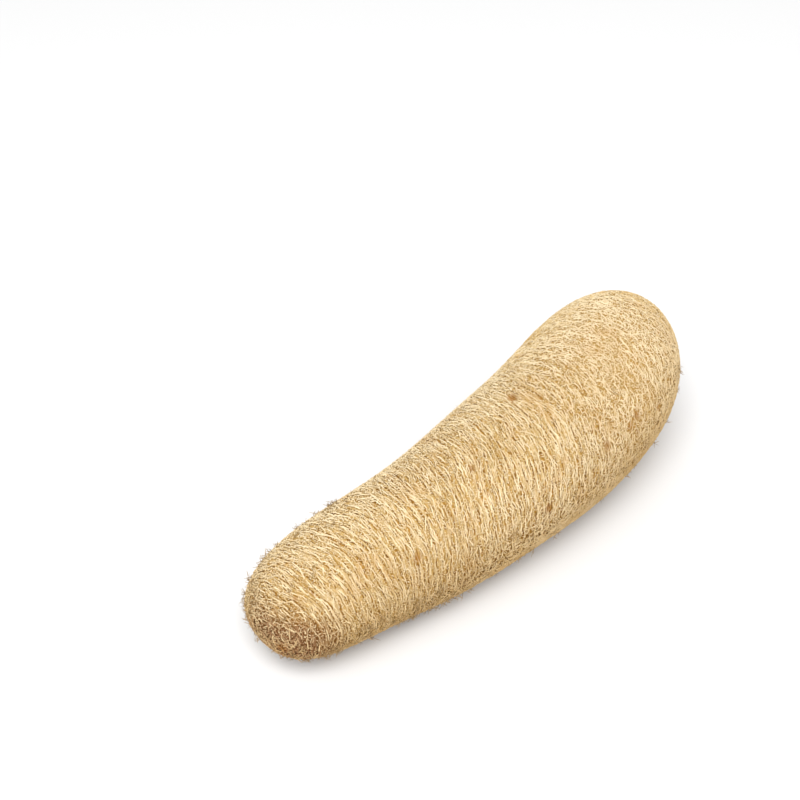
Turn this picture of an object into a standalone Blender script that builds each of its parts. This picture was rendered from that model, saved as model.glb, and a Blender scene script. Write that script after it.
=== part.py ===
"""Natural loofah sponge: the dried net of a gourd, grown in one piece and lying on its side.

Metres, +Z up. The slim end is at -X and the thick end at +X, and the body bows towards -Y.
It lies on the plane Z = 0 on a narrow strip where its fibres are pressed flat. The origin is
the middle of its footprint on that plane.

The body is a sphere drawn out along a bowed axis. Its rows of vertices run round the loofah as
the fibres do. Every second row is a raised strand, and the row between two strands is a gap of
the net: it opens into meshes and closes where the strands are tied. An open mesh pushes its two
strands apart, so they waver, meet and part as grown fibres do.
"""
import math

import bmesh
import bpy
import numpy as np

NAME = "loofah"
SEED = 11

# The body's outer form
LENGTH = 0.350
SLIM_RADIUS = 0.0360
THICK_RADIUS = 0.0506
THICK_FROM = 0.71      # share of the length where the full radius is reached
FLATNESS = 0.97        # height over width of a cross-section
BOW = 0.0314           # how far the axis leaves the straight line between its ends
BOW_SKEW = 1.32        # above 1, the bow is deepest past the middle
SLIM_END = 0.075       # length that each end takes to round off, and how square it is
SLIM_END_POWER = 3.1
THICK_END = 0.097
THICK_END_POWER = 2.43

# Low swellings and hollows of the whole skin: height, waves along, waves round, phase
LUMPS = (
    (0.0009, 3, 2, 0.4),
    (0.0007, 5, 1, 2.1),
    (0.0006, 7, 3, 4.0),
)

# The raised net
ROWS = 130             # steps along the body from tip to tip, an even number
AROUND = 44            # vertices round each row
MESH_WAVES = (4, 5, 6, 7, 8, 9)   # how many meshes a gap has round the body
MESH_CONTRAST = 0.85   # how sharply a gap changes from open to tied
MESH_DEPTH = 0.0042
TIE_DEPTH = 0.0004
PUSH = 0.0020          # how far an open mesh pushes a strand aside
SWAY = 0.0022          # how far whole neighbourhoods of strands sway from straight round
CREST_UNEVEN = 0.00015
STAGGER = 0.35         # shift of a row round the body, in steps
WHORL_RADIUS = 0.020   # inside this radius at each end the strands lie even

# The strip that it rests on
PRESSED = 0.0013       # thickness of the fibres that are pressed flat

# Finish
STRAW = (0.70, 0.53, 0.29, 1.0)
STRAW_ROUGHNESS = 0.85


def ease(value):
    """0 below 0, 1 above 1, and a smooth climb between them."""
    value = np.clip(value, 0.0, 1.0)
    return value * value * (3.0 - 2.0 * value)


def plain_radius(share):
    """Radius at a share of the length, before the ends are rounded off."""
    return SLIM_RADIUS + (THICK_RADIUS - SLIM_RADIUS) * ease(share / THICK_FROM)


def end_rounding(share):
    """Factor on the radius: 1 along the body, falling to 0 at both tips."""
    factor = np.ones_like(share)
    for distance, reach, power in (
        (share * LENGTH, SLIM_END, SLIM_END_POWER),
        ((1.0 - share) * LENGTH, THICK_END, THICK_END_POWER),
    ):
        left = np.clip(1.0 - distance / reach, 0.0, 1.0)
        factor *= (1.0 - left ** power) ** (1.0 / power)
    return factor


def axis_offset(share):
    """How far the bowed axis lies to the side of the line between the tips."""
    return -BOW * np.sin(math.pi * np.clip(share, 0.0, 1.0) ** BOW_SKEW)


class Outline:
    """Half outline of the body, from the slim tip to the thick one, read by distance along it."""

    SAMPLES = 4001

    def __init__(self):
        turn = np.linspace(0.0, math.pi, self.SAMPLES)
        share = 0.5 - 0.5 * np.cos(turn)
        self.along = share * LENGTH
        self.radius = plain_radius(share) * end_rounding(share)
        steps = np.hypot(np.diff(self.along), np.diff(self.radius))
        self.run = np.concatenate(([0.0], np.cumsum(steps)))
        self.total = self.run[-1]
        self.slope_along = np.gradient(self.along, self.run)
        self.slope_radius = np.gradient(self.radius, self.run)

    def at(self, run, sunk):
        """Place on the outline at a run from the slim tip, moved inwards by sunk."""
        along = np.interp(run, self.run, self.along)
        radius = np.interp(run, self.run, self.radius)
        inward_along = np.interp(run, self.run, self.slope_radius)
        inward_radius = np.interp(run, self.run, self.slope_along)
        return along + inward_along * sunk, np.maximum(radius - inward_radius * sunk, 0.0)


def place(along, radius, angle):
    """Point in space of a place on the outline, turned round the bowed axis by angle."""
    share = along / LENGTH
    small = 0.001
    lean = (axis_offset(share + small) - axis_offset(share - small)) / (2.0 * small * LENGTH)
    heading = np.arctan(lean)
    across = radius * np.cos(angle)
    x = along - across * np.sin(heading)
    y = axis_offset(share) + across * np.cos(heading)
    z = FLATNESS * (plain_radius(share) + radius * np.sin(angle))
    return np.stack((x, y, z), axis=-1)


def openness(angle, rng):
    """How open the net is at each vertex of each gap: 1 in a mesh, 0 where strands are tied."""
    gaps = ROWS // 2 + 1
    wave = np.zeros((gaps, AROUND))
    for waves in MESH_WAVES:
        height = rng.normal(size=(gaps, 1))
        phase = rng.uniform(0.0, 2.0 * math.pi, size=(gaps, 1))
        wave += height * np.sin(waves * angle[::2] + phase)
    return ease(0.5 + MESH_CONTRAST * wave / math.sqrt(len(MESH_WAVES) / 2.0))


def lump_height(share, angle):
    """Low swellings of the whole skin, faded out at the tips."""
    height = np.zeros_like(angle)
    for size, along, around, phase in LUMPS:
        height += size * np.sin(math.pi * along * share + phase) * np.cos(around * angle + phase)
    return height * np.sin(math.pi * share)


def net_points():
    """Positions of all rows of vertices, from the slim tip to the thick one."""
    rng = np.random.default_rng(SEED)
    outline = Outline()
    row = np.arange(ROWS + 1)[:, None]
    step = outline.total / ROWS
    shift = STAGGER * rng.uniform(-1.0, 1.0, size=row.shape)
    angle = (np.arange(AROUND) + shift) * 2.0 * math.pi / AROUND
    share = row / ROWS
    calm = ease(np.interp(row * step, outline.run, outline.radius) / WHORL_RADIUS)

    mesh = openness(angle, rng)
    run = row * step + np.zeros(AROUND)
    run[1:ROWS:2] += PUSH * (mesh[:-1] - mesh[1:]) * calm[1:ROWS:2]
    run += SWAY * calm * np.sin(2.0 * angle + 9.0 * share) * np.sin(math.pi * share)
    sunk = np.empty_like(run)
    sunk[::2] = TIE_DEPTH + (MESH_DEPTH - TIE_DEPTH) * mesh
    sunk[1:ROWS:2] = np.abs(rng.normal(0.0, CREST_UNEVEN, size=mesh[:-1].shape))
    sunk -= lump_height(share, angle)
    run[0] = 0.0
    run[-1] = outline.total
    sunk[[0, -1]] = TIE_DEPTH

    net = place(*outline.at(run, sunk), angle)
    outer = place(*outline.at(run, np.zeros_like(run)), angle)
    pressed = (outer[..., 2] < PRESSED) | (net[..., 2] < 0.0)
    net[pressed, 2] = 0.0
    return net


def straw_material():
    material = bpy.data.materials.new(NAME + "_straw")
    material.use_nodes = True
    surface = material.node_tree.nodes["Principled BSDF"]
    surface.inputs["Base Color"].default_value = STRAW
    surface.inputs["Roughness"].default_value = STRAW_ROUGHNESS
    surface.inputs["Metallic"].default_value = 0.0
    return material


def loofah_mesh():
    """A sphere whose rows and columns of vertices are laid on the net."""
    points = net_points()
    body = bmesh.new()
    bmesh.ops.create_uvsphere(body, u_segments=AROUND, v_segments=ROWS, radius=1.0)
    for vertex in body.verts:
        x, y, z = vertex.co
        row = round(math.acos(max(-1.0, min(1.0, -z))) / math.pi * ROWS)
        column = round(math.atan2(y, x) / (2.0 * math.pi) * AROUND) % AROUND
        vertex.co = points[row, column]
    middle = (points.min(axis=(0, 1)) + points.max(axis=(0, 1))) / 2.0
    bmesh.ops.translate(body, verts=body.verts, vec=(-middle[0], -middle[1], 0.0))
    mesh = bpy.data.meshes.new(NAME)
    body.to_mesh(mesh)
    body.free()
    mesh.shade_smooth()
    return mesh


def main():
    for old in list(bpy.data.objects):
        bpy.data.objects.remove(old, do_unlink=True)
    collection = bpy.data.collections.new(NAME)
    bpy.context.scene.collection.children.link(collection)
    loofah = bpy.data.objects.new(NAME, loofah_mesh())
    loofah.data.materials.append(straw_material())
    collection.objects.link(loofah)


main()
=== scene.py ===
"""A natural loofah sponge, dressed with its fibres and shown on a pale studio floor."""
import math

import bmesh
import bpy
import numpy as np
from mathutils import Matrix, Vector


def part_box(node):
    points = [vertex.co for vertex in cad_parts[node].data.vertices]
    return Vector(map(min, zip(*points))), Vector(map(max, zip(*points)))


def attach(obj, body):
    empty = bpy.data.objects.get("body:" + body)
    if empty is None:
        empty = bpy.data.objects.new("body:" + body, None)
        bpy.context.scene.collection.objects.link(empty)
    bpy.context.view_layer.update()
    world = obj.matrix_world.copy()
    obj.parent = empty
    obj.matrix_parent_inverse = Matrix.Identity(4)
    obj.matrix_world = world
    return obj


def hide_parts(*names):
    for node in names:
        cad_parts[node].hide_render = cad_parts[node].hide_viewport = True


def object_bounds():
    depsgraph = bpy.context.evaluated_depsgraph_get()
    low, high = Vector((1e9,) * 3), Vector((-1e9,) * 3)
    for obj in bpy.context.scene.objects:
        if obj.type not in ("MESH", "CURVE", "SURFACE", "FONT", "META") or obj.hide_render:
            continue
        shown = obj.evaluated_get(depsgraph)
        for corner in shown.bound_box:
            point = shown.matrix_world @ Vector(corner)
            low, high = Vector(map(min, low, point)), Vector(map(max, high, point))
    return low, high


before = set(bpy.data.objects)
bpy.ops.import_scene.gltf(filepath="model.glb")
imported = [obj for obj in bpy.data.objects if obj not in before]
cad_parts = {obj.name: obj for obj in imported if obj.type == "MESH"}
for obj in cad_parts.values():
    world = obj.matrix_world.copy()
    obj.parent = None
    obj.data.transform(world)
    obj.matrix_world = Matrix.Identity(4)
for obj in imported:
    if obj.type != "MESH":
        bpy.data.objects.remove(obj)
solid_low, solid_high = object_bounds()

SEED = 7

# The body's outer form, in metres, as the solid has it
LENGTH = 0.350
SLIM_RADIUS = 0.0360
THICK_RADIUS = 0.0506
THICK_FROM = 0.71          # share of the length where the full radius is reached
FLATNESS = 0.97            # height over width of a cross-section
BOW = 0.0314               # how far the axis leaves the straight line between its ends
BOW_SKEW = 1.32            # above 1, the bow is deepest past the middle
SLIM_END = 0.075           # length that each end takes to round off, and how square it is
SLIM_END_POWER = 3.1
THICK_END = 0.097
THICK_END_POWER = 2.43

# Low swellings and hollows of the whole skin: height, waves along, waves round, phase
LUMPS = (
    (0.0009, 3, 2, 0.4),
    (0.0007, 5, 1, 2.1),
    (0.0006, 7, 3, 4.0),
)

TURN = 2.0 * math.pi


def ease(value):
    """0 below 0, 1 above 1, and a smooth climb between them."""
    value = np.clip(value, 0.0, 1.0)
    return value * value * (3.0 - 2.0 * value)


def plain_radius(share):
    """Radius at a share of the length, before the ends are rounded off."""
    return SLIM_RADIUS + (THICK_RADIUS - SLIM_RADIUS) * ease(share / THICK_FROM)


def end_rounding(share):
    """Factor on the radius: 1 along the body, falling to 0 at both tips."""
    factor = np.ones_like(share)
    for distance, reach, power in (
        (share * LENGTH, SLIM_END, SLIM_END_POWER),
        ((1.0 - share) * LENGTH, THICK_END, THICK_END_POWER),
    ):
        left = np.clip(1.0 - distance / reach, 0.0, 1.0)
        factor *= (1.0 - left ** power) ** (1.0 / power)
    return factor


def axis_offset(share):
    """How far the bowed axis lies to the side of the line between the tips."""
    return -BOW * np.sin(math.pi * np.clip(share, 0.0, 1.0) ** BOW_SKEW)


class Body:
    """The loofah's skin. A place on it is a run from the slim tip, an angle and a depth."""

    SAMPLES = 4001         # places along the outline that it is worked out at
    BOX_RUNS = 400         # places along and round the skin that its box is measured with
    BOX_ANGLES = 90

    def __init__(self):
        share = 0.5 - 0.5 * np.cos(np.linspace(0.0, math.pi, self.SAMPLES))
        self.along = share * LENGTH
        self.radius = plain_radius(share) * end_rounding(share)
        steps = np.hypot(np.diff(self.along), np.diff(self.radius))
        self.run = np.concatenate(([0.0], np.cumsum(steps)))
        self.total = self.run[-1]
        self.slope_along = np.gradient(self.along, self.run)
        self.slope_radius = np.gradient(self.radius, self.run)
        self.middle = np.zeros(3)
        self.middle[:2] = self.off_centre()[:2]

    def off_centre(self):
        """How far the skin's middle lies from the middle of the solid."""
        runs = np.linspace(0.0, self.total, self.BOX_RUNS)
        run, angle = np.meshgrid(runs, np.linspace(0.0, TURN, self.BOX_ANGLES))
        skin = self.place(run, angle, 0.0)
        low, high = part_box("loofah")
        return (skin.min(axis=(0, 1)) + skin.max(axis=(0, 1)) - np.array(low + high)) / 2.0

    def girth(self, run, least=0.0):
        """Radius of the skin at a run from the slim tip, or least near the tips."""
        return np.maximum(np.interp(run, self.run, self.radius), least)

    def lump(self, run, angle):
        """Height of the low swellings of the skin."""
        share = run / self.total
        height = 0.0
        for size, along, around, phase in LUMPS:
            wave = np.sin(math.pi * along * share + phase)
            height = height + size * wave * np.cos(around * angle + phase)
        return height * np.sin(math.pi * share)

    def place(self, run, angle, depth):
        """Points in space, depth under the skin."""
        depth = depth - self.lump(run, angle)
        along = np.interp(run, self.run, self.along)
        along = along + np.interp(run, self.run, self.slope_radius) * depth
        radius = self.girth(run) - np.interp(run, self.run, self.slope_along) * depth
        radius = np.maximum(radius, 0.0)
        share = along / LENGTH
        small = 0.001
        lean = (axis_offset(share + small) - axis_offset(share - small)) / (2.0 * small * LENGTH)
        heading = np.arctan(lean)
        across = radius * np.cos(angle)
        x = along - across * np.sin(heading)
        y = axis_offset(share) + across * np.cos(heading)
        z = FLATNESS * (plain_radius(share) + radius * np.sin(angle))
        return np.stack(np.broadcast_arrays(x, y, z), axis=-1) - self.middle


body = Body()


class StrandLayer:
    """Sizes of one layer of strands, the rows of fibres that run round the body."""

    def __init__(self, pitch, thickness, step, depth, uneven, push, arcs, drift, thinning):
        self.pitch = pitch
        self.thickness = thickness
        self.step = step         # distance between the points of a strand
        self.depth = depth       # of its crests
        self.uneven = uneven     # how much deeper a strand may lie
        self.push = push         # of the pitch, how far an open mesh pushes a strand aside
        self.arcs = arcs         # shortest and longest strand
        self.drift = drift       # of the pitch, how far the ends of a strand leave its row
        self.thinning = thinning    # share of the strands that felt takes the place of


OUTER = StrandLayer(
    pitch=0.00130,
    thickness=0.00078,
    step=0.0015,
    depth=0.00010,
    uneven=0.00040,
    push=0.24,
    arcs=(0.006, 0.018),
    drift=0.8,
    thinning=1.0,
)
INNER = StrandLayer(
    pitch=0.00150,
    thickness=0.00122,
    step=0.0045,
    depth=0.00085,
    uneven=0.00030,
    push=0.20,
    arcs=(0.018, 0.045),
    drift=0.9,
    thinning=0.0,
)
STRAND_GIRTH = 0.0012      # least radius that a strand is bent round
ROW_MARGIN = 0.8           # of the pitch, between the first or last row and the tip
STRAND_WIDTHS = (0.72, 1.18)    # thinnest and thickest strand, of its layer's thickness
WIDTH_UNEVEN = 0.10        # how much its width varies along its way
TIP_WIDTH = 0.5            # of its width at its ends, before they are drawn shut
TIP_REACH = 0.005          # length over which it gets to its full width
TIP_MARGIN = 0.0003        # shortest run from a strand to the body's tips
MESH_LENGTH = 0.0036       # of one opening and the tie after it, along a strand
MESH_CONTRAST = 0.85       # how sharply a gap changes from open to tied
MESH_WAVES = 7             # that one gap's openings are made of
MESH_SPREAD = (0.6, 1.5)   # fewest and most waves, of those that the length gives
DIVE = 0.0008              # how far the ends of a strand sink in
DIVE_REACH = 0.006         # length over which they do
WEAVE = 0.00030            # how much a strand rises and falls along its way
FELT_SINK = 0.00045        # how far strands lie under the felt
FELT_SLIMMING = 0.25       # how much thinner they are there


class FibreKind:
    """Sizes of one kind of short fibre that is sown over the strands."""

    def __init__(self, spacing, lengths, thickness, depths, sink, bend, shares, tones):
        self.spacing = spacing        # between neighbours, both ways
        self.lengths = lengths
        self.thickness = thickness
        self.depths = depths
        self.sink = sink              # how much deeper the tips lie
        self.bend = bend              # of its heading from point to point
        self.shares = np.array(shares)    # of its length, where its points are
        self.tones = tones


# Ties join neighbouring strands. Surface fibres lie nearly along them, felt fibres every way.
TIE = FibreKind(
    spacing=0.00156,
    lengths=(0.0017, 0.0030),
    thickness=(0.00048, 0.00068),
    depths=(0.0, 0.00045),
    sink=0.0006,
    bend=0.0,
    shares=(0.0, 0.5, 1.0),
    tones=(0.1, 0.9),
)
SURFACE = FibreKind(
    spacing=0.0054,
    lengths=(0.0045, 0.0100),
    thickness=(0.00046, 0.00066),
    depths=(0.0, 0.00030),
    sink=0.0007,
    bend=0.12,
    shares=(0.0, 0.1, 0.5, 0.9, 1.0),
    tones=(0.0, 0.6),
)
FELT = FibreKind(
    spacing=0.00184,
    lengths=(0.0030, 0.0062),
    thickness=(0.00040, 0.00062),
    depths=(-0.00005, 0.00055),
    sink=0.0005,
    bend=0.40,
    shares=(0.0, 0.12, 0.5, 0.88, 1.0),
    tones=(0.0, 0.9),
)
TIE_SLANTS = (0.5, 1.4)    # angle of ties to the strands
SURFACE_SPREAD = 0.22      # of the headings of surface fibres about the strands' own
FELT_SPREADS = (0.5, 1.3)  # the same of felt fibres, where there is little felt and where much
FELT_EVERYWHERE = 0.04     # share of felt fibres that are sown outside the felt too
LIE_UNEVEN = 0.00006       # how much the depth of a fibre varies from point to point
PIT_CLEAR = 0.8            # share of the ties and surface fibres that a pit is free of

# Stray hairs that stand off the skin in small clumps
CLUMP_SPACING = 0.0050
CLUMP_HAIRS = 6
CLUMP_RADIUS = 0.0013
HAIR_LENGTHS = (0.0018, 0.0056)
HAIR_THICKNESS = (0.00028, 0.00050)
HAIR_BENDS = (0.5, 1.5)
HAIR_RISES = (0.15, 0.80)  # how far the free end rises, of the length
HAIR_CURVES = (0.8, 1.6)   # below 1, it rises most near its root
HAIR_THINNING = 0.4        # how much thinner its free end is
HAIR_ROOT = 0.0006         # depth of its root
HAIR_LOWEST = 0.0003       # least height over the plane that the loofah lies on
HAIR_TONES = (0.3, 1.0)
HAIRS_EVERYWHERE = 0.004   # share of the places for a clump that have one
SLIM_HAIRS = 0.36          # the same at the slim end, and the length that it fades over
SLIM_HAIRS_REACH = 0.10
BACK_BARE = 0.95           # how much of that is left out round the bow's back
LOW_HAIRS = 0.03           # the same low on the flanks, and how many more in the slim half
LOW_SLIM_HAIRS = 0.20
LOW_SLIM_REACH = 0.22
HAIR_MARGIN = (0.0090, 0.0029, 0.0025)    # how far they may reach past the solid's box

# Angles round the body, from its hollow side upwards
BACK_ANGLE = 2.2           # high on the bow's back
FLANK_ANGLE = 3.75         # of the middle of the felted flank
FLANK_HALF_WIDTH = 1.0
FLANK_STEEPNESS = 1.2      # above 1, the middle of the flank is felted evenly
HOLLOW_ANGLE = 0.4         # of the middle of the bow's hollow side
HOLLOW_HALF_WIDTH = 1.2

SLIM_LEAN = 0.20           # slope of the strands at the bow's back, near the slim end and past it
MAIN_LEAN = -0.22
LEAN_FROM = 0.05
LEAN_REACH = 0.12
WHORL_RADIUS = 0.014       # inside this radius at each end the strands lie even

# The felt's share in each place, and the run where it comes in and the length that it takes
SLIM_TIP_FELT = 0.62
SLIM_TIP_FULL = 0.008      # it is full up to here, and fades from here
SLIM_TIP_REACH = 0.030
FLANK_FELT_FROM = 0.085
FLANK_FELT_REACH = 0.09
THICK_HALF_FELT = 0.70
THICK_HALF_FROM = 0.190
THICK_HALF_REACH = 0.090
THICK_TIP_FELT = 0.15
THICK_TIP_FROM = 0.310
THICK_TIP_REACH = 0.050

SHADE_AND_BROWNING_TONE = 0.22         # how much deeper, as painted shade, the fibres of the hollow side's thick half are
TIP_SHADE_AND_BROWNING = 0.8        # how deep the thick tip is, of that: partly painted shade, partly its own browner colour
TIP_SHADE_AND_BROWNING_FROM = 0.312
TIP_SHADE_AND_BROWNING_REACH = 0.055
DEPTH_BROWNING_AND_SHADE = 0.45       # share of a fibre's tone that comes from its depth: deeper fibres are partly browner of their own and partly given painted shade
DEEPEST = 0.0018           # depth at which a fibre has the inner ones' deeper tone

MAT_DEPTH = 0.0018         # of the inner mat under the skin
MAT_RISE = 0.0005          # how much less deep it lies in the thick half
MAT_LOWEST = 0.0008        # its height over the plane that the loofah lies on
MAT_AROUND = 90            # steps of its mesh round the body, and along it
MAT_ROWS = 170
PIT_SINK = 0.0009          # how much deeper fibres lie in a pit
MAT_PIT_SINK = 0.0012      # and how much deeper the mat does
PIT_RIM = 1.5              # how far a pit's rim reaches, of its radius
PIT_STEEPNESS = 1.5        # above 1, a pit's middle is even
NEAR_TIP = 0.004           # least radius that slopes and pits are worked out with
FLOOR_GAP = 0.00002        # least space between a fibre and the plane that the body lies on

SWAY_WAVES = (
    # height, waves along the body, waves round it, phase
    (0.0010, 2.5, 2, 0.3),
    (0.0008, 4.0, -3, 1.9),
    (0.0006, 5.5, 5, 4.4),
    (0.00040, 8.0, -8, 2.2),
    (0.00022, 11.0, 13, 5.1),
)

PITS = (
    # hollows with deeper colour: run, angle, radius, depth from 0 to 1
    (0.2075, 1.46, 0.0030, 1.0),
    (0.2170, 1.73, 0.0017, 0.8),
    (0.1560, 1.91, 0.0018, 0.9),
    (0.1035, 2.55, 0.0026, 0.7),
    (0.1860, 2.95, 0.0025, 1.0),
    (0.2340, 2.74, 0.0026, 0.9),
    (0.2615, 2.71, 0.0026, 0.8),
    (0.2540, 2.75, 0.0028, 0.5),
    (0.2815, 2.88, 0.0020, 0.8),
    (0.2405, 2.52, 0.0015, 0.7),
    (0.2590, 2.89, 0.0013, 0.7),
    (0.2580, 2.10, 0.0013, 0.5),
    (0.0155, 3.82, 0.0030, 1.0),
    (0.0140, 1.46, 0.0013, 0.8),
    (0.0315, 2.10, 0.0013, 0.8),
    (0.0410, 2.21, 0.0011, 0.8),
    (0.0900, 2.58, 0.0009, 1.0),
    (0.2530, 4.60, 0.0026, 0.9),
    (0.1250, 5.30, 0.0022, 0.8),
    (0.3050, 0.50, 0.0025, 0.8),
)


def sway(run, angle):
    """How far the fibres near a place are carried along the body, all together."""
    total = 0.0
    for height, along, around, phase in SWAY_WAVES:
        total = total + height * np.sin(TURN * along * run / body.total + around * angle + phase)
    girth = body.girth(run)
    lean = SLIM_LEAN + (MAIN_LEAN - SLIM_LEAN) * ease((run - LEAN_FROM) / LEAN_REACH)
    return total * ease(girth / WHORL_RADIUS) + lean * girth * np.sin(angle - BACK_ANGLE)


def strand_slope(run, angle):
    """Heading of the strands: 0 straight round the body, above 0 towards the thick end."""
    small = 0.01
    rise = sway(run, angle + small) - sway(run, angle - small)
    return np.arctan(rise / (2.0 * small * body.girth(run, least=NEAR_TIP)))


def turned(angle, centre):
    """Angle from a centre, at most half a turn to either side."""
    return (angle - centre + math.pi) % TURN - math.pi


def thick_half(run):
    """0 in the slim half, 1 in the thick one."""
    return ease((run - THICK_HALF_FROM) / THICK_HALF_REACH)


def felted(run, angle):
    """Share of felt: most low on the flank, less in the thick half and at the slim tip."""
    away = np.abs(turned(angle, FLANK_ANGLE)) / FLANK_HALF_WIDTH
    flank = ease(FLANK_STEEPNESS * (1.0 - away))
    flank = flank * ease((run - FLANK_FELT_FROM) / FLANK_FELT_REACH)
    slim_tip = SLIM_TIP_FELT * ease(1.0 - (run - SLIM_TIP_FULL) / SLIM_TIP_REACH)
    thick_tip = THICK_TIP_FELT * ease((run - THICK_TIP_FROM) / THICK_TIP_REACH)
    thick = THICK_HALF_FELT * thick_half(run) + thick_tip
    return np.maximum(flank, np.maximum(slim_tip, thick))


def shade_and_browning_part(run, angle):
    """Share of the deeper tone: painted shade on the hollow side's thick half, and less at the thick
    tip, where it is partly painted shade and partly the tip's own browner colour.
    """
    side = ease(1.0 - np.abs(turned(angle, HOLLOW_ANGLE)) / HOLLOW_HALF_WIDTH) * thick_half(run)
    return np.maximum(side, TIP_SHADE_AND_BROWNING * ease((run - TIP_SHADE_AND_BROWNING_FROM) / TIP_SHADE_AND_BROWNING_REACH))


def pitted(run, angle):
    """Share of a pit's depth and colour at a place."""
    share = 0.0
    for pit_run, pit_angle, radius, depth in PITS:
        around = turned(angle, pit_angle) * body.girth(run, least=NEAR_TIP)
        away = np.hypot(run - pit_run, around) / (PIT_RIM * radius)
        share = np.maximum(share, depth * ease(PIT_STEEPNESS * (1.0 - away)))
    return share


class MeshGap:
    """The gap between two rows of strands, opening and closing round the body."""

    def __init__(self, rng, girth):
        around = TURN * girth / MESH_LENGTH
        self.waves = np.maximum(1, np.round(around * rng.uniform(*MESH_SPREAD, size=MESH_WAVES)))
        self.heights = rng.normal(size=MESH_WAVES) / math.sqrt(0.5 * MESH_WAVES)
        self.phases = rng.uniform(0.0, TURN, size=MESH_WAVES)

    def open_at(self, angle):
        waves = self.heights * np.sin(np.outer(angle, self.waves) + self.phases)
        return ease(0.5 + MESH_CONTRAST * waves.sum(axis=1))


class Fibre:
    """Points of one fibre, and at each its thickness, its tone and its share of pit colour."""

    def __init__(self, runs, angles, depth, thickness, tone):
        self.run = float(np.mean(runs))
        self.stain = pitted(runs, angles)
        self.points = body.place(runs, angles, depth + PIT_SINK * self.stain)
        self.points[:, 2] = np.maximum(self.points[:, 2], 0.5 * thickness + FLOOR_GAP)
        self.thickness = thickness
        # Partly painted shade: the deeper a fibre lies, the deeper its tone
        self.tone = (1.0 - DEPTH_BROWNING_AND_SHADE) * tone + DEPTH_BROWNING_AND_SHADE * np.clip(depth / DEEPEST, 0.0, 1.0)
        # Painted shade: the hollow side's thick half and, in part, the thick tip get a deeper tone
        self.tone += SHADE_AND_BROWNING_TONE * shade_and_browning_part(runs, angles)


def arc_cuts(rng, girth, arcs):
    """Angles that cut one row round the body into arcs."""
    cuts = [rng.uniform(0.0, TURN)]
    while cuts[-1] < cuts[0] + TURN:
        cuts.append(cuts[-1] + rng.uniform(*arcs) / girth)
    if len(cuts) < 3:
        return [cuts[0], cuts[0] + TURN]
    cuts[-1] = cuts[0] + TURN
    return cuts


def strand(rng, layer, run, start, end, gap_below, gap_above):
    """One strand of a row, from a start angle to an end one."""
    girth = float(body.girth(run, least=STRAND_GIRTH))
    overlap = layer.step / girth
    length = (end - start + 2.0 * overlap) * girth
    count = max(5, int(length / layer.step) + 1)
    angle = np.linspace(start - overlap, end + overlap, count)
    t = np.linspace(0.0, 1.0, count)
    drift = layer.pitch * layer.drift * np.interp(t, (0.0, 1.0), rng.uniform(-1.0, 1.0, size=2))
    push = gap_below.open_at(angle) - gap_above.open_at(angle)
    runs = run + drift + layer.push * layer.pitch * push + sway(run, angle)
    runs = np.clip(runs, TIP_MARGIN, body.total - TIP_MARGIN)
    tip = np.minimum(t, 1.0 - t) * length
    wide = layer.thickness * rng.uniform(*STRAND_WIDTHS)
    wide = wide * (1.0 + rng.normal(0.0, WIDTH_UNEVEN, size=count))
    felt = felted(run, angle)
    wide = wide * (TIP_WIDTH + (1.0 - TIP_WIDTH) * ease(tip / TIP_REACH))
    wide = wide * (1.0 - FELT_SLIMMING * felt)
    depth = layer.depth + 0.5 * layer.thickness + DIVE * (1.0 - ease(tip / DIVE_REACH))
    depth = depth + rng.uniform(0.0, layer.uneven) + np.abs(rng.normal(0.0, WEAVE, size=count))
    return Fibre(runs, angle, depth + FELT_SINK * felt, wide, rng.uniform())


def strand_rows(rng, layer):
    """Strands round the body, row by row, with gaps that open into meshes."""
    margin = ROW_MARGIN * layer.pitch
    rows = np.arange(margin, body.total - margin, layer.pitch)
    gaps = [MeshGap(rng, body.girth(run, least=0.002)) for run in np.append(rows, body.total)]
    fibres = []
    for row, run in enumerate(rows):
        cuts = arc_cuts(rng, float(body.girth(run, least=STRAND_GIRTH)), layer.arcs)
        for start, end in zip(cuts[:-1], cuts[1:]):
            taken = layer.thinning * felted(run, (start + end) / 2.0)
            if rng.uniform() > taken:
                fibres.append(strand(rng, layer, run, start, end, gaps[row], gaps[row + 1]))
    return fibres


def sown(rng, spacing, weight):
    """Places spread evenly over the skin, moved by chance, and kept by a weight from 0 to 1."""
    runs, angles = [], []
    for run in np.arange(0.5 * spacing, body.total, spacing):
        count = max(3, round(TURN * float(body.girth(run)) / spacing))
        steps = np.arange(count) + rng.uniform(-0.5, 0.5, size=count)
        angles.append(rng.uniform(0.0, TURN) + steps * TURN / count)
        runs.append(run + spacing * rng.uniform(-0.5, 0.5, size=count))
    run, angle = np.concatenate(runs), np.concatenate(angles)
    keep = rng.uniform(size=len(run)) < weight(run, angle)
    return run[keep], angle[keep]


def wander(rng, run, angle, length, heading, bend, shares):
    """Paths over the skin, a row of runs and one of angles for each, some right over a tip."""
    steps = np.diff(shares)
    turn = np.cumsum(rng.normal(size=(len(run), len(steps))), axis=1) * bend[:, None]
    heading = heading[:, None] + turn - turn.mean(axis=1, keepdims=True)
    length = length[:, None] * steps
    start = np.zeros((len(run), 1))
    along = np.hstack((start, np.cumsum(np.sin(heading) * length, axis=1)))
    across = np.hstack((start, np.cumsum(np.cos(heading) * length, axis=1)))
    runs = run[:, None] + along - along.mean(axis=1, keepdims=True)
    girth = body.girth(np.abs(runs), least=0.005)
    angles = angle[:, None] + (across - across.mean(axis=1, keepdims=True)) / girth
    past = (runs < 0.0) | (runs > body.total)
    runs = body.total - np.abs(body.total - np.abs(runs))
    return runs, angles + math.pi * past


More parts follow.
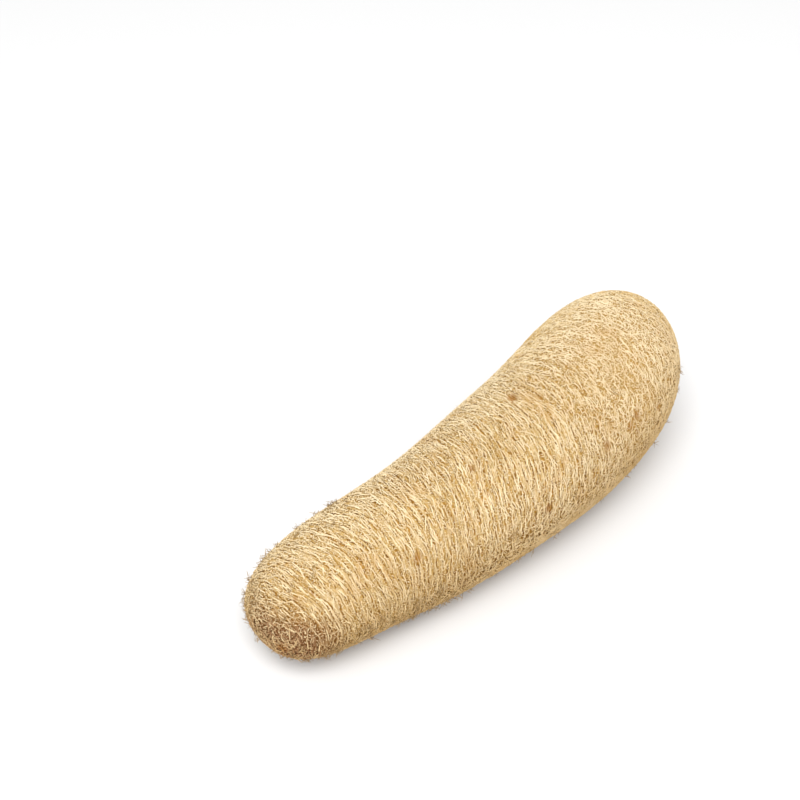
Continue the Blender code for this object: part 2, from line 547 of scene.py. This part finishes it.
def laid(rng, kind, run, angle, heading, bend):
    """Fibres of a kind at places on the skin, each along its heading, with tips that sink in."""
    length = rng.uniform(*kind.lengths, size=len(run))
    paths = wander(rng, run, angle, length, heading, bend, kind.shares)
    end = np.minimum(kind.shares, 1.0 - kind.shares) * 2.0
    fibres = []
    for runs, angles in zip(*paths):
        depth = rng.uniform(*kind.depths) + kind.sink * (1.0 - ease(2.0 * end))
        depth = depth + rng.normal(0.0, LIE_UNEVEN, size=len(end))
        thickness = np.full(len(end), rng.uniform(*kind.thickness))
        fibres.append(Fibre(runs, angles, depth, thickness, rng.uniform(*kind.tones)))
    return fibres


def unpitted(run, angle):
    """Weight of a place for fibres that pits are mostly free of."""
    return 1.0 - PIT_CLEAR * pitted(run, angle)


def ties(rng):
    """Short fibres across the gaps between the strands."""
    run, angle = sown(rng, TIE.spacing, unpitted)
    slant = rng.uniform(*TIE_SLANTS, size=len(run)) * rng.choice((-1.0, 1.0), size=len(run))
    return laid(rng, TIE, run, angle, strand_slope(run, angle) + slant, np.zeros(len(run)))


def surface_fibres(rng):
    """Thin fibres over the strands, nearly along them."""
    run, angle = sown(rng, SURFACE.spacing, unpitted)
    heading = strand_slope(run, angle) + rng.normal(0.0, SURFACE_SPREAD, size=len(run))
    return laid(rng, SURFACE, run, angle, heading, np.full(len(run), SURFACE.bend))


def felt_fibres(rng):
    """Thin fibres every way on the felted parts, and a few elsewhere."""
    def weight(run, angle):
        return FELT_EVERYWHERE + (1.0 - FELT_EVERYWHERE) * felted(run, angle)

    run, angle = sown(rng, FELT.spacing, weight)
    felt = felted(run, angle)
    spread = np.interp(felt, (0.0, 1.0), FELT_SPREADS)
    heading = strand_slope(run, angle) + spread * rng.normal(size=len(run))
    return laid(rng, FELT, run, angle, heading, FELT.bend * (0.4 + 0.6 * felt))


def hair_weight(run, angle):
    """Weight of a place for stray hairs: most at the slim end and low on the flanks."""
    back = ease(1.6 * (1.0 - np.abs(turned(angle, BACK_ANGLE)) / 1.5))
    slim = SLIM_HAIRS * ease(1.3 - run / SLIM_HAIRS_REACH) * (1.0 - BACK_BARE * back)
    share = LOW_HAIRS + LOW_SLIM_HAIRS * ease(1.2 - run / LOW_SLIM_REACH)
    return HAIRS_EVERYWHERE + np.maximum(slim, ease(0.6 - np.sin(angle)) * share)


def stray_hairs(rng):
    """Clumps of broken ends that stand off the skin."""
    places = sown(rng, CLUMP_SPACING, hair_weight)
    run, angle = (np.repeat(place, CLUMP_HAIRS) for place in places)
    count = len(run)
    run = np.abs(run + rng.normal(0.0, CLUMP_RADIUS, size=count))
    angle = angle + rng.normal(0.0, CLUMP_RADIUS, size=count) / body.girth(run, least=0.01)
    length = rng.uniform(*HAIR_LENGTHS, size=count)
    bend = rng.uniform(*HAIR_BENDS, size=count)
    shares = np.linspace(0.0, 1.0, 5)
    paths = wander(rng, run, angle, length, rng.uniform(0.0, TURN, size=count), bend, shares)
    rise = rng.uniform(*HAIR_RISES, size=count) * length
    low = np.array(solid_low) - HAIR_MARGIN
    high = np.array(solid_high) + HAIR_MARGIN
    fibres = []
    for index, (runs, angles) in enumerate(zip(*paths)):
        depth = HAIR_ROOT - (HAIR_ROOT + rise[index]) * shares ** rng.uniform(*HAIR_CURVES)
        thickness = rng.uniform(*HAIR_THICKNESS) * (1.0 - HAIR_THINNING * shares)
        hair = Fibre(runs, angles, depth, thickness, rng.uniform(*HAIR_TONES))
        hair.points = np.clip(hair.points, low, high)
        hair.points[:, 2] = np.maximum(hair.points[:, 2], HAIR_LOWEST)
        fibres.append(hair)
    return fibres


SIDES = 3                  # of a fibre's section
MAP_MARGIN = 0.04          # round each fibre's cell of the bake map
WELD = 0.0000005           # distance under which the corners of a drawn-in tip are one


def tube_section():
    """Section of a fibre with its corners half a unit out, turned so that tubes face outwards."""
    section = bpy.data.curves.new("fibre_section", "CURVE")
    outline = section.splines.new("POLY")
    outline.points.add(SIDES - 1)
    for corner, point in enumerate(outline.points):
        turn = -corner * TURN / SIDES
        point.co = (0.5 * math.cos(turn), 0.5 * math.sin(turn), 0.0, 1.0)
    outline.use_cyclic_u = True
    return bpy.data.objects.new("fibre_section", section)


def fibre_map(mesh, counts):
    """Gives each fibre its own cell of the bake map, along by round."""
    columns = int(math.ceil(math.sqrt(len(counts))))
    uv = []
    for index, count in enumerate(counts):
        segment, side = np.divmod(np.arange((count - 1) * SIDES), SIDES)
        near, far = segment / (count - 1), (segment + 1) / (count - 1)
        high, low = (side + 1) / SIDES, side / SIDES
        corners = np.stack((near, high, far, high, far, low, near, low), axis=1).reshape(-1, 2)
        origin = np.array((index % columns, index // columns))
        uv.append((origin + MAP_MARGIN + (1.0 - 2.0 * MAP_MARGIN) * corners) / columns)
    for layer in list(mesh.uv_layers):
        mesh.uv_layers.remove(layer)
    layer = mesh.uv_layers.new(name="OFBake")
    layer.data.foreach_set("uv", np.concatenate(uv).astype(np.float32).ravel())


def fibre_curve(name, fibres, section):
    """A curve with a spline for each fibre, thinning to nothing at both of its ends."""
    curve = bpy.data.curves.new(name, "CURVE")
    curve.dimensions = "3D"
    curve.bevel_mode = "OBJECT"
    curve.bevel_object = section
    for fibre in fibres:
        spline = curve.splines.new("POLY")
        count = len(fibre.points)
        spline.points.add(count - 1)
        flat = np.ones((count, 4))
        flat[:, :3] = fibre.points
        spline.points.foreach_set("co", flat.ravel())
        radii = np.array(fibre.thickness)
        radii[[0, -1]] = 0.0
        spline.points.foreach_set("radius", radii)
    return curve


def mesh_of(curve):
    """The mesh that a curve makes. The curve is used up."""
    name = curve.name
    holder = bpy.data.objects.new(name + "_curve", curve)
    bpy.context.scene.collection.objects.link(holder)
    graph = bpy.context.evaluated_depsgraph_get()
    mesh = bpy.data.meshes.new_from_object(holder.evaluated_get(graph))
    bpy.data.objects.remove(holder)
    bpy.data.curves.remove(curve)
    mesh.name = name
    return mesh


def add_attribute(mesh, label, values):
    """Gives each vertex of a mesh a value for its material to read."""
    attribute = mesh.attributes.new(label, "FLOAT", "POINT")
    attribute.data.foreach_set("value", values.astype(np.float32))


def fibre_mesh(name, fibres, section):
    """One mesh of tubes with both tips drawn shut, and their tone and stain as attributes."""
    mesh = mesh_of(fibre_curve(name, fibres, section))
    tone = np.concatenate([fibre.tone for fibre in fibres])
    stain = np.concatenate([fibre.stain for fibre in fibres])
    add_attribute(mesh, "tone", np.repeat(tone, SIDES))
    add_attribute(mesh, "stain", np.repeat(stain, SIDES))
    fibre_map(mesh, [len(fibre.points) for fibre in fibres])

    shut = bmesh.new()
    shut.from_mesh(mesh)
    bmesh.ops.remove_doubles(shut, verts=shut.verts, dist=WELD)
    shut.to_mesh(mesh)
    shut.free()
    mesh.shade_smooth()
    return mesh


class Value:
    """A shader socket in an expression: each operator adds the Math node that it stands for."""

    def __init__(self, nodes, socket):
        self.nodes = nodes
        self.socket = socket

    def _math(self, operation, first, second):
        return self.nodes.add("ShaderNodeMath", {"operation": operation}, {0: first, 1: second})

    def __add__(self, other):
        return self._math("ADD", self, other)

    def __sub__(self, other):
        return self._math("SUBTRACT", self, other)

    def __mul__(self, other):
        return self._math("MULTIPLY", self, other)

    def __rsub__(self, other):
        return self._math("SUBTRACT", other, self)

    __radd__ = __add__
    __rmul__ = __mul__


class Nodes:
    """The node tree of one material."""

    def __init__(self, name):
        self.material = bpy.data.materials.new(name)
        self.material.use_nodes = True
        self.tree = self.material.node_tree
        self.surface = self.tree.nodes["Principled BSDF"]

    def add(self, kind, settings=None, inputs=None, output=0):
        """Adds a node, with its settings first and then its sockets' values or links."""
        node = self.tree.nodes.new(kind)
        for key, value in (settings or {}).items():
            setattr(node, key, value)
        for key, value in (inputs or {}).items():
            self.feed(node.inputs[key], value)
        return Value(self, node.outputs[output])

    def feed(self, socket, value):
        """Links a Value to a socket, or sets a plain value on it."""
        if isinstance(value, Value):
            self.tree.links.new(value.socket, socket)
        else:
            socket.default_value = value

    def attribute(self, name):
        """A value that the mesh has at each vertex."""
        return self.add("ShaderNodeAttribute", {"attribute_name": name}, {}, "Fac")

    def noise(self, vector, scale, detail=2.0, roughness=0.5):
        inputs = {"Vector": vector, "Scale": scale, "Detail": detail, "Roughness": roughness}
        return self.add("ShaderNodeTexNoise", {}, inputs, "Fac")

    def smooth_step(self, value, low, high):
        """0 where value is below low, 1 above high."""
        inputs = {"Value": value, "From Min": low, "From Max": high}
        return self.add("ShaderNodeMapRange", {"interpolation_type": "SMOOTHSTEP"}, inputs)

    def mix(self, share, first, second, blend="MIX"):
        """First colour with a share of the second mixed in."""
        inputs = {0: share, 6: first, 7: second}
        return self.add("ShaderNodeMix", {"data_type": "RGBA", "blend_type": blend}, inputs, 2)

    def finish(self, colour, roughness):
        """The material with its surface set."""
        self.feed(self.surface.inputs["Base Color"], colour)
        self.feed(self.surface.inputs["Roughness"], roughness)
        self.surface.inputs["Specular IOR Level"].default_value = GLOSS
        return self.material


def srgb(red, green, blue):
    """Linear colour from the 0 to 255 values of a picture."""
    def linear(value):
        value = value / 255.0
        return value / 12.92 if value <= 0.04045 else ((value + 0.055) / 1.055) ** 2.4
    return (linear(red), linear(green), linear(blue), 1.0)


GLOSS = 0.12               # specular level of everything here, which is dry and dull
FIBRE_ROUGHNESS = 0.66
MAT_ROUGHNESS = 0.8
FLOOR_ROUGHNESS = 0.9

PALE_STRAW = srgb(239, 221, 184)
STRAW = srgb(222, 197, 149)
DEEP_STRAW = srgb(196, 160, 93)
# Painted shade: the tint that darkens the underside
UNDERSIDE_SHADE_TINT = srgb(238, 228, 212)
BLUSH = srgb(208, 162, 100)
ROSY_BROWN = srgb(148, 102, 72)
PIT_ORANGE = srgb(168, 114, 50)
MAT_STRAW = srgb(182, 140, 70)
# Partly painted shade: the mat's brown also stands for the shade deep in the gaps
MAT_SHADED_BROWN = srgb(126, 88, 38)
MAT_GOLD = srgb(200, 163, 98)
MAT_ROSY = srgb(114, 76, 44)
HAIR_STRAW = srgb(186, 154, 106)
HAIR_BROWN = srgb(114, 90, 60)
WHITE_FLOOR = srgb(224, 224, 224)

CAP_CENTRE = tuple(float(value) for value in body.place(0.016, 3.9, 0.0))
CAP_RADII = (0.018, 0.040)      # where the rosy brown of the slim cap starts to fade, and ends
CAP_RAGGED = 0.03               # how far patches move that edge
UNDERSIDE_SHADE_HEIGHTS = (0.010, 0.072)  # where the underside's painted shade starts to fade, and ends
UNDERSIDE_SHADE_RISE = 0.018              # how much higher it reaches at the thick end


def weathering_and_underside_shade(nodes, place):
    """Shares of patches, of the slim cap's rosy brown and of the painted shade that darkens the
    underside.
    """
    patches = nodes.noise(place, 22.0, 3.0, 0.6)
    inputs = {0: place, 1: CAP_CENTRE}
    away = nodes.add("ShaderNodeVectorMath", {"operation": "DISTANCE"}, inputs, "Value")
    rosy = 1.0 - nodes.smooth_step(away + (patches - 0.5) * CAP_RAGGED, *CAP_RADII)
    # Painted shade: its share falls off with height, and reaches higher towards the thick end
    height = nodes.add("ShaderNodeSeparateXYZ", {}, {0: place}, "Z")
    along = nodes.add("ShaderNodeSeparateXYZ", {}, {0: place}, "X")
    height = height - nodes.smooth_step(along, 0.0, 0.12) * UNDERSIDE_SHADE_RISE
    return patches, rosy, 1.0 - nodes.smooth_step(height, *UNDERSIDE_SHADE_HEIGHTS)


def fibre_material(name):
    """Dry fibre: each its own straw tone, deeper in patches and rosy at the slim cap, with painted
    shade low on the body.
    """
    nodes = Nodes(name)
    place = nodes.add("ShaderNodeTexCoord", {}, {}, "Object")
    patches, rosy, under = weathering_and_underside_shade(nodes, place)
    fine = nodes.noise(place, 420.0, 2.0, 0.5)
    # The tone is partly chance and partly painted shade, from depth and from the hollow side
    tone = nodes.attribute("tone")
    colour = nodes.mix(nodes.smooth_step(tone, 0.10, 1.0), PALE_STRAW, STRAW)
    deep = nodes.smooth_step(patches * 0.5 + fine * 0.3 + tone * 0.6, 0.50, 1.00)
    colour = nodes.mix(deep, colour, DEEP_STRAW)
    blush = nodes.smooth_step(nodes.noise(place, 60.0, 2.0, 0.6), 0.50, 0.75)
    colour = nodes.mix(blush * 0.25, colour, BLUSH)
    # Painted shade: low on the body the fibres are mixed deeper and darkened
    colour = nodes.mix(under * 0.45, colour, DEEP_STRAW)
    colour = nodes.mix(under, colour, UNDERSIDE_SHADE_TINT, "MULTIPLY")
    rosy = rosy * nodes.smooth_step(tone, 0.10, 0.60) * 0.82
    colour = nodes.mix(rosy, colour, ROSY_BROWN)
    colour = nodes.mix(nodes.attribute("stain") * 0.8, colour, PIT_ORANGE)
    return nodes.finish(colour, FIBRE_ROUGHNESS)


def hair_material(name):
    """Stray hairs: duller and browner than the net."""
    nodes = Nodes(name)
    tone = nodes.attribute("tone")
    return nodes.finish(nodes.mix(tone, HAIR_STRAW, HAIR_BROWN), FIBRE_ROUGHNESS)


def mat_material(name):
    """The packed fibres under the net: brown, paler in strands and golden in the thick half; the
    brown is partly their own colour and partly painted shade of the deep gaps.
    """
    nodes = Nodes(name)
    place = nodes.add("ShaderNodeTexCoord", {}, {}, "Object")
    patches, rosy, under = weathering_and_underside_shade(nodes, place)
    stretched = nodes.add("ShaderNodeMapping", {}, {"Vector": place, "Scale": (900.0, 260.0, 260.0)})
    strands = nodes.noise(stretched, 1.0, 2.0, 0.6)
    colour = nodes.mix(nodes.smooth_step(strands, 0.36, 0.66), MAT_SHADED_BROWN, MAT_STRAW)
    along = nodes.add("ShaderNodeSeparateXYZ", {}, {0: place}, "X")
    colour = nodes.mix(nodes.smooth_step(along, 0.0, 0.09) * 0.7, colour, MAT_GOLD)
    # Painted shade: low on the body the mat is mixed browner
    colour = nodes.mix(under * 0.7, colour, MAT_SHADED_BROWN)
    colour = nodes.mix(rosy * 0.9, colour, MAT_ROSY)
    colour = nodes.mix(nodes.attribute("stain") * 0.7, colour, PIT_ORANGE)
    return nodes.finish(colour, MAT_ROUGHNESS)


def dress(mesh, material):
    """Puts a mesh in the scene as a piece of the loofah."""
    piece = bpy.data.objects.new(mesh.name, mesh)
    bpy.context.scene.collection.objects.link(piece)
    mesh.materials.append(material)
    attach(piece, "root")
    return piece


def inner_mat():
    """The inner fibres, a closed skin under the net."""
    skin = bmesh.new()
    bmesh.ops.create_uvsphere(skin, u_segments=MAT_AROUND, v_segments=MAT_ROWS, radius=1.0)
    co = np.array([vertex.co for vertex in skin.verts])
    run = np.arccos(np.clip(-co[:, 2], -1.0, 1.0)) / math.pi * body.total
    angle = np.arctan2(co[:, 1], co[:, 0])
    stain = pitted(run, angle)
    depth = MAT_DEPTH - MAT_RISE * thick_half(run) + MAT_PIT_SINK * stain
    points = body.place(run, angle, depth)
    points[:, 2] = np.maximum(points[:, 2], MAT_LOWEST)
    for vertex, point in zip(skin.verts, points):
        vertex.co = point
    mesh = bpy.data.meshes.new("inner_mat")
    skin.to_mesh(mesh)
    skin.free()
    add_attribute(mesh, "stain", stain)
    mesh.shade_smooth()
    return mesh


# Parts of the body that each layer of fibres is split in: name, and the runs that it is between
ZONES = (("slim_end", 0.0, 0.145), ("middle", 0.145, 0.268), ("thick_end", 0.268, 1.0))


def make_loofah():
    """The mat in place of the solid, and the fibres on it."""
    rng = np.random.default_rng(SEED)
    straw = fibre_material("straw_fibre")
    mat = dress(inner_mat(), mat_material("inner_mat_fibre"))
    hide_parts("loofah")
    section = tube_section()
    for kind, fibres in (
        ("strands", strand_rows(rng, OUTER)),
        ("inner_strands", strand_rows(rng, INNER)),
        ("ties", ties(rng)),
        ("surface_fibres", surface_fibres(rng)),
        ("felt_fibres", felt_fibres(rng)),
    ):
        for zone, low, high in ZONES:
            part = [fibre for fibre in fibres if low <= fibre.run < high]
            dress(fibre_mesh(kind + "_" + zone, part, section), straw)
    dress(fibre_mesh("stray_hairs", stray_hairs(rng), section), hair_material("dull_fibre"))
    bpy.data.objects.remove(section)


# The photograph's view
CAMERA_AZIMUTH = math.radians(-54.56)
CAMERA_ELEVATION = math.radians(40.0)
CAMERA_DISTANCE = 1.05
CAMERA_LENS = 80.0
CAMERA_SENSOR = 36.0
CAMERA_NEAR = 0.01
CAMERA_AIM = (-0.0145, 0.0634, 0.0747)
CAMERA_AROUND = (0.0, 0.0, 0.045)


def set_up(thing, place, target):
    """Puts a camera or a lamp at a place, looking at a target."""
    thing.location = place
    look = Vector(target) - Vector(place)
    thing.rotation_euler = look.to_track_quat("-Z", "Y").to_euler()
    bpy.context.scene.collection.objects.link(thing)


def make_camera():
    level = math.cos(CAMERA_ELEVATION)
    across = math.sin(CAMERA_AZIMUTH) * level
    back = Vector((across, -math.cos(CAMERA_AZIMUTH) * level, math.sin(CAMERA_ELEVATION)))
    camera = bpy.data.objects.new("camera", bpy.data.cameras.new("camera"))
    camera.data.lens = CAMERA_LENS
    camera.data.sensor_width = CAMERA_SENSOR
    camera.data.clip_start = CAMERA_NEAR
    set_up(camera, Vector(CAMERA_AROUND) + back * CAMERA_DISTANCE, CAMERA_AIM)
    bpy.context.scene.camera = camera


# The studio: a white floor under an even sky, and one large lamp on the camera's side
FLOOR_SIZE = 12.0
FLOOR_DROP = 0.0003        # under the plane that the loofah lies on
SKY_STRENGTH = 0.99
KEY_PLACE = (-0.88, -0.63, 1.40)
KEY_TARGET = (0.0, 0.0, 0.04)
KEY_SIZE = 1.2
KEY_POWER = 30.5


def make_floor():
    bpy.ops.mesh.primitive_plane_add(size=FLOOR_SIZE, location=(0.0, 0.0, -FLOOR_DROP))
    floor = bpy.context.active_object
    floor.name = "floor"
    floor.data.materials.append(Nodes("white_floor").finish(WHITE_FLOOR, FLOOR_ROUGHNESS))


def make_light():
    world = bpy.data.worlds.new("studio")
    world.use_nodes = True
    sky = world.node_tree.nodes["Background"]
    sky.inputs["Color"].default_value = (1.0, 1.0, 1.0, 1.0)
    sky.inputs["Strength"].default_value = SKY_STRENGTH
    bpy.context.scene.world = world

    light = bpy.data.lights.new("key", "AREA")
    light.shape = "SQUARE"
    light.size = KEY_SIZE
    light.energy = KEY_POWER
    set_up(bpy.data.objects.new("key", light), KEY_PLACE, KEY_TARGET)
    bpy.context.scene.view_settings.view_transform = "Standard"


make_camera()
make_loofah()
make_floor()
make_light()
